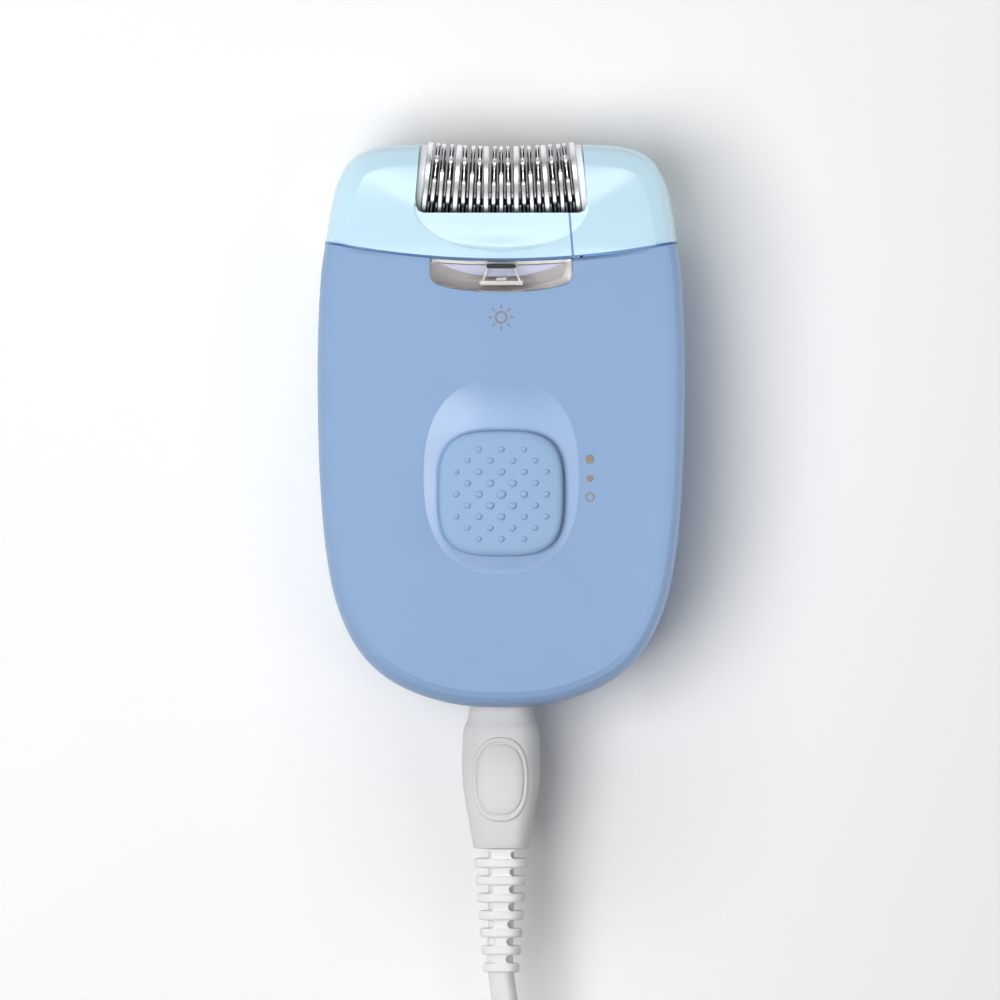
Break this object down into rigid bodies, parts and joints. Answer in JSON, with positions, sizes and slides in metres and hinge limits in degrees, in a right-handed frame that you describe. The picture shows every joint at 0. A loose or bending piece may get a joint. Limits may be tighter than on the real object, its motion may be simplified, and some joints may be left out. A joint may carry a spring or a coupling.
{
  "type": "corded epilator",
  "caption": "Handheld epilator with a rounded blue body, a pale head of spinning tweezer discs, a slide switch, a light window and a plug-in lead with wall adapter.",
  "frame": {"origin": "on the resting surface, under the middle of the epilator without its lead", "axes": "+X to the right of the front face, +Y towards the tweezer head, +Z out of the front face; the epilator lies on its back"},
  "size_m": [0.0688, 0.3061, 0.0344],
  "materials": {
    "body_blue": "satin moulded blue",
    "head_pale_blue": "glossy moulded pale blue",
    "knob_blue": "soft matt blue",
    "window_clear": "clear moulded window",
    "hood_black": "black moulding",
    "lamp_white": "lamp lens",
    "inner_dark": "dark moulding",
    "board_green": "green board",
    "contact_brass": "sheet brass",
    "gear_nylon": "natural nylon",
    "steel": "polished steel",
    "lead_white": "white flexible moulding"
  },
  "bodies": {
    "housing": {"front_shell": "body_blue", "rear_shell": "body_blue", "chassis": "inner_dark", "motor_can": "steel", "motor_end_cap": "gear_nylon", "circuit_board": "board_green", "switch_contact": "contact_brass", "inlet_socket": "inner_dark", "inlet_pin_left": "contact_brass", "inlet_pin_right": "contact_brass", "screw_left": "steel", "screw_right": "steel", "light_window": "window_clear", "lamp_hood": "hood_black", "lamp_led": "lamp_white", "reduction_pin": "steel", "transfer_pin": "steel", "coupling_plate": "inner_dark"},
    "switch": {"switch_knob": "knob_blue", "switch_carrier": "inner_dark"},
    "rotor": {"motor_rotor": "steel", "motor_pinion": "gear_nylon"},
    "reduction": {"reduction_gear": "gear_nylon"},
    "transfer": {"transfer_gear": "gear_nylon"},
    "head": {"head_main": "head_pale_blue", "head_side": "head_pale_blue", "cheek_left": "steel", "cheek_right": "steel", "disc_axle": "steel"},
    "head_drive": {"head_gear": "gear_nylon"},
    "disc_01": {"tweezer_disc_01": "steel"},
    "disc_02": {"tweezer_disc_02": "steel"},
    "disc_03": {"tweezer_disc_03": "steel"},
    "disc_04": {"tweezer_disc_04": "steel"},
    "disc_05": {"tweezer_disc_05": "steel"},
    "disc_06": {"tweezer_disc_06": "steel"},
    "disc_07": {"tweezer_disc_07": "steel"},
    "disc_08": {"tweezer_disc_08": "steel"},
    "disc_09": {"tweezer_disc_09": "steel"},
    "disc_10": {"tweezer_disc_10": "steel"},
    "disc_11": {"tweezer_disc_11": "steel"},
    "disc_12": {"tweezer_disc_12": "steel"},
    "disc_13": {"tweezer_disc_13": "steel"},
    "disc_14": {"tweezer_disc_14": "steel"},
    "disc_15": {"tweezer_disc_15": "steel"},
    "disc_16": {"tweezer_disc_16": "steel"},
    "disc_17": {"tweezer_disc_17": "steel"},
    "disc_18": {"tweezer_disc_18": "steel"},
    "disc_19": {"tweezer_disc_19": "steel"},
    "disc_20": {"tweezer_disc_20": "steel"},
    "disc_21": {"tweezer_disc_21": "steel"},
    "lead": {"appliance_plug": "lead_white", "strain_relief": "lead_white", "cord_lead": "lead_white", "cord_coil": "lead_white", "cord_tail": "lead_white", "adapter_housing": "lead_white", "adapter_pin_left": "steel", "adapter_pin_right": "steel"}
  },
  "joints": [
    {"name": "switch_slide", "type": "slide", "parent": "housing", "child": "switch", "axis": [0, 1, 0], "range_m": [0, 0.0062]},
    {"name": "head_pull", "type": "slide", "parent": "housing", "child": "head", "axis": [0, 1, 0], "range_m": [0, 0.016]},
    {"name": "plug_pull", "type": "slide", "parent": "housing", "child": "lead", "axis": [0, -1, 0], "range_m": [0, 0.01]},
    {"name": "motor_spin", "type": "hinge", "parent": "housing", "child": "rotor", "pos_m": [0.022, -0.00317, 0.01336], "axis": [1, 0, 0], "continuous": true},
    {"name": "reduction_spin", "type": "hinge", "parent": "housing", "child": "reduction", "pos_m": [0.02, 0.01052, 0.01627], "axis": [1, 0, 0], "continuous": true},
    {"name": "transfer_spin", "type": "hinge", "parent": "housing", "child": "transfer", "pos_m": [0.0185, 0.0245, 0.017], "axis": [1, 0, 0], "continuous": true},
    {"name": "head_gear_spin", "type": "hinge", "parent": "head", "child": "head_drive", "pos_m": [0.0185, 0.0392, 0.017], "axis": [1, 0, 0], "continuous": true},
    {"name": "disc_01_spin", "type": "hinge", "parent": "head", "child": "disc_01", "pos_m": [-0.01287, 0.0393, 0.017], "axis": [0.9941, -0.1082, 0], "continuous": true},
    {"name": "disc_02_spin", "type": "hinge", "parent": "head", "child": "disc_02", "pos_m": [-0.01158, 0.03917, 0.017], "axis": [0.9953, -0.0973, 0], "continuous": true},
    {"name": "disc_03_spin", "type": "hinge", "parent": "head", "child": "disc_03", "pos_m": [-0.0103, 0.03905, 0.017], "axis": [0.9963, -0.0865, 0], "continuous": true},
    {"name": "disc_04_spin", "type": "hinge", "parent": "head", "child": "disc_04", "pos_m": [-0.00901, 0.03894, 0.017], "axis": [0.9971, -0.0757, 0], "continuous": true},
    {"name": "disc_05_spin", "type": "hinge", "parent": "head", "child": "disc_05", "pos_m": [-0.00772, 0.03885, 0.017], "axis": [0.9979, -0.0649, 0], "continuous": true},
    {"name": "disc_06_spin", "type": "hinge", "parent": "head", "child": "disc_06", "pos_m": [-0.00643, 0.03877, 0.017], "axis": [0.9985, -0.0541, 0], "continuous": true},
    {"name": "disc_07_spin", "type": "hinge", "parent": "head", "child": "disc_07", "pos_m": [-0.00515, 0.03871, 0.017], "axis": [0.9991, -0.0433, 0], "continuous": true},
    {"name": "disc_08_spin", "type": "hinge", "parent": "head", "child": "disc_08", "pos_m": [-0.00386, 0.03866, 0.017], "axis": [0.9995, -0.0324, 0], "continuous": true},
    {"name": "disc_09_spin", "type": "hinge", "parent": "head", "child": "disc_09", "pos_m": [-0.00257, 0.03863, 0.017], "axis": [0.9998, -0.0216, 0], "continuous": true},
    {"name": "disc_10_spin", "type": "hinge", "parent": "head", "child": "disc_10", "pos_m": [-0.00129, 0.03861, 0.017], "axis": [0.9999, -0.0108, 0], "continuous": true},
    {"name": "disc_11_spin", "type": "hinge", "parent": "head", "child": "disc_11", "pos_m": [0, 0.0386, 0.017], "axis": [1, 0, 0], "continuous": true},
    {"name": "disc_12_spin", "type": "hinge", "parent": "head", "child": "disc_12", "pos_m": [0.00129, 0.03861, 0.017], "axis": [0.9999, 0.0108, 0], "continuous": true},
    {"name": "disc_13_spin", "type": "hinge", "parent": "head", "child": "disc_13", "pos_m": [0.00257, 0.03863, 0.017], "axis": [0.9998, 0.0216, 0], "continuous": true},
    {"name": "disc_14_spin", "type": "hinge", "parent": "head", "child": "disc_14", "pos_m": [0.00386, 0.03866, 0.017], "axis": [0.9995, 0.0324, 0], "continuous": true},
    {"name": "disc_15_spin", "type": "hinge", "parent": "head", "child": "disc_15", "pos_m": [0.00515, 0.03871, 0.017], "axis": [0.9991, 0.0433, 0], "continuous": true},
    {"name": "disc_16_spin", "type": "hinge", "parent": "head", "child": "disc_16", "pos_m": [0.00643, 0.03877, 0.017], "axis": [0.9985, 0.0541, 0], "continuous": true},
    {"name": "disc_17_spin", "type": "hinge", "parent": "head", "child": "disc_17", "pos_m": [0.00772, 0.03885, 0.017], "axis": [0.9979, 0.0649, 0], "continuous": true},
    {"name": "disc_18_spin", "type": "hinge", "parent": "head", "child": "disc_18", "pos_m": [0.00901, 0.03894, 0.017], "axis": [0.9971, 0.0757, 0], "continuous": true},
    {"name": "disc_19_spin", "type": "hinge", "parent": "head", "child": "disc_19", "pos_m": [0.0103, 0.03905, 0.017], "axis": [0.9963, 0.0865, 0], "continuous": true},
    {"name": "disc_20_spin", "type": "hinge", "parent": "head", "child": "disc_20", "pos_m": [0.01158, 0.03917, 0.017], "axis": [0.9953, 0.0973, 0], "continuous": true},
    {"name": "disc_21_spin", "type": "hinge", "parent": "head", "child": "disc_21", "pos_m": [0.01287, 0.0393, 0.017], "axis": [0.9941, 0.1082, 0], "continuous": true}
  ],
  "couplings": [
    {"joint": "reduction_spin", "follows": "motor_spin", "ratio": -0.42857},
    {"joint": "transfer_spin", "follows": "motor_spin", "ratio": 0.23077},
    {"joint": "head_gear_spin", "follows": "motor_spin", "ratio": -0.375},
    {"joint": "disc_01_spin", "follows": "motor_spin", "ratio": -0.375},
    {"joint": "disc_02_spin", "follows": "motor_spin", "ratio": -0.375},
    {"joint": "disc_03_spin", "follows": "motor_spin", "ratio": -0.375},
    {"joint": "disc_04_spin", "follows": "motor_spin", "ratio": -0.375},
    {"joint": "disc_05_spin", "follows": "motor_spin", "ratio": -0.375},
    {"joint": "disc_06_spin", "follows": "motor_spin", "ratio": -0.375},
    {"joint": "disc_07_spin", "follows": "motor_spin", "ratio": -0.375},
    {"joint": "disc_08_spin", "follows": "motor_spin", "ratio": -0.375},
    {"joint": "disc_09_spin", "follows": "motor_spin", "ratio": -0.375},
    {"joint": "disc_10_spin", "follows": "motor_spin", "ratio": -0.375},
    {"joint": "disc_11_spin", "follows": "motor_spin", "ratio": -0.375},
    {"joint": "disc_12_spin", "follows": "motor_spin", "ratio": -0.375},
    {"joint": "disc_13_spin", "follows": "motor_spin", "ratio": -0.375},
    {"joint": "disc_14_spin", "follows": "motor_spin", "ratio": -0.375},
    {"joint": "disc_15_spin", "follows": "motor_spin", "ratio": -0.375},
    {"joint": "disc_16_spin", "follows": "motor_spin", "ratio": -0.375},
    {"joint": "disc_17_spin", "follows": "motor_spin", "ratio": -0.375},
    {"joint": "disc_18_spin", "follows": "motor_spin", "ratio": -0.375},
    {"joint": "disc_19_spin", "follows": "motor_spin", "ratio": -0.375},
    {"joint": "disc_20_spin", "follows": "motor_spin", "ratio": -0.375},
    {"joint": "disc_21_spin", "follows": "motor_spin", "ratio": -0.375}
  ]
}
